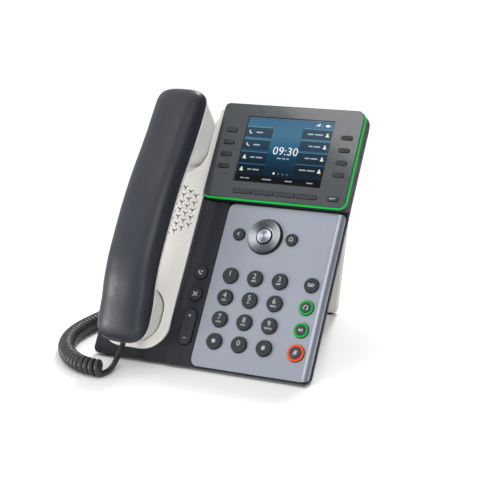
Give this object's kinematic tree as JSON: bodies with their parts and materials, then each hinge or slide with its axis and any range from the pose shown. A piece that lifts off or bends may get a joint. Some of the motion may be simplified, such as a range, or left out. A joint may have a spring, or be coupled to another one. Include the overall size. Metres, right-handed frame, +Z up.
{
  "type": "desk ip phone",
  "caption": "Corded desk phone: sloped body on a fold-out stand, tilted colour display, dial pad, navigation ring, handset on a side cradle with a coiled lead.",
  "frame": {"origin": "centre of the footprint of the phone without its lead, on the table", "axes": "+X to the user's right, +Y to the rear, +Z up"},
  "size_m": [0.2171, 0.2337, 0.194],
  "materials": {
    "charcoal": "fine spark-eroded texture",
    "dark": "satin black moulding",
    "silver": "brushed, clear coated",
    "offwhite": "fine matt texture",
    "slate": "satin soft-touch",
    "bezel": "glossy, lightly tinted",
    "green_light": "translucent light guide, lit green",
    "red_light": "translucent light guide, lit orange-red",
    "key": "fine matt texture with white legends",
    "metal": "spun finish",
    "rubber": "moulded",
    "board": "solder-masked laminate",
    "screen": "colour liquid-crystal panel, lit",
    "cord": "satin flexible jacket",
    "clear": "clear moulding"
  },
  "bodies": {
    "base": {"front_housing": "charcoal", "rear_housing": "charcoal", "keypad_plate": "silver", "cradle_insert": "offwhite", "display_housing": "dark", "display_bezel": "bezel", "lcd_module": "screen", "light_bar": "green_light", "main_board": "board", "loudspeaker": "dark", "network_jack": "dark", "front_foot": "rubber", "cord_coil": "cord", "cord_tail_base": "cord", "cord_tail_handset": "cord", "base_plug": "clear"},
    "handset": {"handset_back": "slate", "handset_front": "offwhite", "receiver_capsule": "dark", "microphone_capsule": "dark", "handset_plug": "clear"},
    "stand": {"desk_stand": "offwhite", "stand_foot": "rubber"},
    "hook": {"hook_plunger": "offwhite"},
    "nav": {"nav_ring": "metal"},
    "rocker": {"volume_rocker": "key"},
    "key_1_body": {"key_1": "key"},
    "key_2_body": {"key_2": "key"},
    "key_3_body": {"key_3": "key"},
    "key_4_body": {"key_4": "key"},
    "key_5_body": {"key_5": "key"},
    "key_6_body": {"key_6": "key"},
    "key_7_body": {"key_7": "key"},
    "key_8_body": {"key_8": "key"},
    "key_9_body": {"key_9": "key"},
    "key_star_body": {"key_star": "key"},
    "key_0_body": {"key_0": "key"},
    "key_hash_body": {"key_hash": "key"},
    "line_key_l1_body": {"line_key_l1": "bezel"},
    "line_key_l2_body": {"line_key_l2": "bezel"},
    "line_key_l3_body": {"line_key_l3": "bezel"},
    "line_key_l4_body": {"line_key_l4": "bezel"},
    "line_key_r1_body": {"line_key_r1": "bezel"},
    "line_key_r2_body": {"line_key_r2": "bezel"},
    "line_key_r3_body": {"line_key_r3": "bezel"},
    "line_key_r4_body": {"line_key_r4": "bezel"},
    "softkey_1_body": {"softkey_1": "bezel"},
    "softkey_2_body": {"softkey_2": "bezel"},
    "softkey_3_body": {"softkey_3": "bezel"},
    "softkey_4_body": {"softkey_4": "bezel"},
    "lines_key_body": {"lines_key": "bezel"},
    "back_key_body": {"back_key": "key"},
    "home_key_body": {"home_key": "key"},
    "voicemail_key_body": {"voicemail_key": "key"},
    "headset_key_body": {"headset_key": "green_light"},
    "speaker_key_body": {"speaker_key": "green_light"},
    "mute_key_body": {"mute_key": "red_light"},
    "transfer_key_body": {"transfer_key": "key"},
    "hold_key_body": {"hold_key": "key"},
    "select_button_body": {"select_button": "metal"}
  },
  "joints": [
    {"name": "handset_lift", "type": "slide", "parent": "base", "child": "handset", "axis": [0, -0.8471, 0.5314], "range_m": [0, 0.06]},
    {"name": "hook_switch", "type": "slide", "parent": "base", "child": "hook", "axis": [0, -0.8471, 0.5314], "range_m": [0, 0.0035]},
    {"name": "stand_fold", "type": "hinge", "parent": "base", "child": "stand", "pos_m": [0, 0.02791, 0.10681], "axis": [1, 0, 0], "range_deg": [-60, 0]},
    {"name": "nav_tilt", "type": "hinge", "parent": "base", "child": "nav", "pos_m": [0.0288, -0.02538, 0.09054], "axis": [1, 0, 0], "range_deg": [-2.5, 2.5], "stiffness_Nm_per_rad": 0.12},
    {"name": "volume_rock", "type": "hinge", "parent": "base", "child": "rocker", "pos_m": [-0.0152, -0.06614, 0.02651], "axis": [1, 0, 0], "range_deg": [-3, 3], "stiffness_Nm_per_rad": 0.12},
    {"name": "key_1_press", "type": "slide", "parent": "base", "child": "key_1_body", "axis": [0, 0.8471, -0.5314], "range_m": [0, 0.0012], "stiffness_N_per_m": 300, "springref_m": -0.0004},
    {"name": "key_2_press", "type": "slide", "parent": "base", "child": "key_2_body", "axis": [0, 0.8471, -0.5314], "range_m": [0, 0.0012], "stiffness_N_per_m": 300, "springref_m": -0.0004},
    {"name": "key_3_press", "type": "slide", "parent": "base", "child": "key_3_body", "axis": [0, 0.8471, -0.5314], "range_m": [0, 0.0012], "stiffness_N_per_m": 300, "springref_m": -0.0004},
    {"name": "key_4_press", "type": "slide", "parent": "base", "child": "key_4_body", "axis": [0, 0.8471, -0.5314], "range_m": [0, 0.0012], "stiffness_N_per_m": 300, "springref_m": -0.0004},
    {"name": "key_5_press", "type": "slide", "parent": "base", "child": "key_5_body", "axis": [0, 0.8471, -0.5314], "range_m": [0, 0.0012], "stiffness_N_per_m": 300, "springref_m": -0.0004},
    {"name": "key_6_press", "type": "slide", "parent": "base", "child": "key_6_body", "axis": [0, 0.8471, -0.5314], "range_m": [0, 0.0012], "stiffness_N_per_m": 300, "springref_m": -0.0004},
    {"name": "key_7_press", "type": "slide", "parent": "base", "child": "key_7_body", "axis": [0, 0.8471, -0.5314], "range_m": [0, 0.0012], "stiffness_N_per_m": 300, "springref_m": -0.0004},
    {"name": "key_8_press", "type": "slide", "parent": "base", "child": "key_8_body", "axis": [0, 0.8471, -0.5314], "range_m": [0, 0.0012], "stiffness_N_per_m": 300, "springref_m": -0.0004},
    {"name": "key_9_press", "type": "slide", "parent": "base", "child": "key_9_body", "axis": [0, 0.8471, -0.5314], "range_m": [0, 0.0012], "stiffness_N_per_m": 300, "springref_m": -0.0004},
    {"name": "key_star_press", "type": "slide", "parent": "base", "child": "key_star_body", "axis": [0, 0.8471, -0.5314], "range_m": [0, 0.0012], "stiffness_N_per_m": 300, "springref_m": -0.0004},
    {"name": "key_0_press", "type": "slide", "parent": "base", "child": "key_0_body", "axis": [0, 0.8471, -0.5314], "range_m": [0, 0.0012], "stiffness_N_per_m": 300, "springref_m": -0.0004},
    {"name": "key_hash_press", "type": "slide", "parent": "base", "child": "key_hash_body", "axis": [0, 0.8471, -0.5314], "range_m": [0, 0.0012], "stiffness_N_per_m": 300, "springref_m": -0.0004},
    {"name": "line_key_l1_press", "type": "slide", "parent": "base", "child": "line_key_l1_body", "axis": [0, 0.8471, -0.5314], "range_m": [0, 0.0007], "stiffness_N_per_m": 400, "springref_m": -0.0004},
    {"name": "line_key_l2_press", "type": "slide", "parent": "base", "child": "line_key_l2_body", "axis": [0, 0.8471, -0.5314], "range_m": [0, 0.0007], "stiffness_N_per_m": 400, "springref_m": -0.0004},
    {"name": "line_key_l3_press", "type": "slide", "parent": "base", "child": "line_key_l3_body", "axis": [0, 0.8471, -0.5314], "range_m": [0, 0.0007], "stiffness_N_per_m": 400, "springref_m": -0.0004},
    {"name": "line_key_l4_press", "type": "slide", "parent": "base", "child": "line_key_l4_body", "axis": [0, 0.8471, -0.5314], "range_m": [0, 0.0007], "stiffness_N_per_m": 400, "springref_m": -0.0004},
    {"name": "line_key_r1_press", "type": "slide", "parent": "base", "child": "line_key_r1_body", "axis": [0, 0.8471, -0.5314], "range_m": [0, 0.0007], "stiffness_N_per_m": 400, "springref_m": -0.0004},
    {"name": "line_key_r2_press", "type": "slide", "parent": "base", "child": "line_key_r2_body", "axis": [0, 0.8471, -0.5314], "range_m": [0, 0.0007], "stiffness_N_per_m": 400, "springref_m": -0.0004},
    {"name": "line_key_r3_press", "type": "slide", "parent": "base", "child": "line_key_r3_body", "axis": [0, 0.8471, -0.5314], "range_m": [0, 0.0007], "stiffness_N_per_m": 400, "springref_m": -0.0004},
    {"name": "line_key_r4_press", "type": "slide", "parent": "base", "child": "line_key_r4_body", "axis": [0, 0.8471, -0.5314], "range_m": [0, 0.0007], "stiffness_N_per_m": 400, "springref_m": -0.0004},
    {"name": "softkey_1_press", "type": "slide", "parent": "base", "child": "softkey_1_body", "axis": [0, 0.8471, -0.5314], "range_m": [0, 0.0007], "stiffness_N_per_m": 400, "springref_m": -0.0004},
    {"name": "softkey_2_press", "type": "slide", "parent": "base", "child": "softkey_2_body", "axis": [0, 0.8471, -0.5314], "range_m": [0, 0.0007], "stiffness_N_per_m": 400, "springref_m": -0.0004},
    {"name": "softkey_3_press", "type": "slide", "parent": "base", "child": "softkey_3_body", "axis": [0, 0.8471, -0.5314], "range_m": [0, 0.0007], "stiffness_N_per_m": 400, "springref_m": -0.0004},
    {"name": "softkey_4_press", "type": "slide", "parent": "base", "child": "softkey_4_body", "axis": [0, 0.8471, -0.5314], "range_m": [0, 0.0007], "stiffness_N_per_m": 400, "springref_m": -0.0004},
    {"name": "lines_key_press", "type": "slide", "parent": "base", "child": "lines_key_body", "axis": [0, 0.8471, -0.5314], "range_m": [0, 0.0007], "stiffness_N_per_m": 400, "springref_m": -0.0004},
    {"name": "back_key_press", "type": "slide", "parent": "base", "child": "back_key_body", "axis": [0, 0.8471, -0.5314], "range_m": [0, 0.0012], "stiffness_N_per_m": 300, "springref_m": -0.0004},
    {"name": "home_key_press", "type": "slide", "parent": "base", "child": "home_key_body", "axis": [0, 0.8471, -0.5314], "range_m": [0, 0.0012], "stiffness_N_per_m": 300, "springref_m": -0.0004},
    {"name": "voicemail_key_press", "type": "slide", "parent": "base", "child": "voicemail_key_body", "axis": [0, 0.8471, -0.5314], "range_m": [0, 0.0012], "stiffness_N_per_m": 300, "springref_m": -0.0004},
    {"name": "headset_key_press", "type": "slide", "parent": "base", "child": "headset_key_body", "axis": [0, 0.8471, -0.5314], "range_m": [0, 0.0012], "stiffness_N_per_m": 300, "springref_m": -0.0004},
    {"name": "speaker_key_press", "type": "slide", "parent": "base", "child": "speaker_key_body", "axis": [0, 0.8471, -0.5314], "range_m": [0, 0.0012], "stiffness_N_per_m": 300, "springref_m": -0.0004},
    {"name": "mute_key_press", "type": "slide", "parent": "base", "child": "mute_key_body", "axis": [0, 0.8471, -0.5314], "range_m": [0, 0.0012], "stiffness_N_per_m": 300, "springref_m": -0.0004},
    {"name": "transfer_key_press", "type": "slide", "parent": "base", "child": "transfer_key_body", "axis": [0, 0.8471, -0.5314], "range_m": [0, 0.0012], "stiffness_N_per_m": 300, "springref_m": -0.0004},
    {"name": "hold_key_press", "type": "slide", "parent": "base", "child": "hold_key_body", "axis": [0, 0.8471, -0.5314], "range_m": [0, 0.0012], "stiffness_N_per_m": 300, "springref_m": -0.0004},
    {"name": "select_button_press", "type": "slide", "parent": "base", "child": "select_button_body", "axis": [0, 0.8471, -0.5314], "range_m": [0, 0.001], "stiffness_N_per_m": 300, "springref_m": -0.0004}
  ],
  "couplings": [
    {"joint": "hook_switch", "follows": "handset_lift", "ratio": 0.058333}
  ]
}
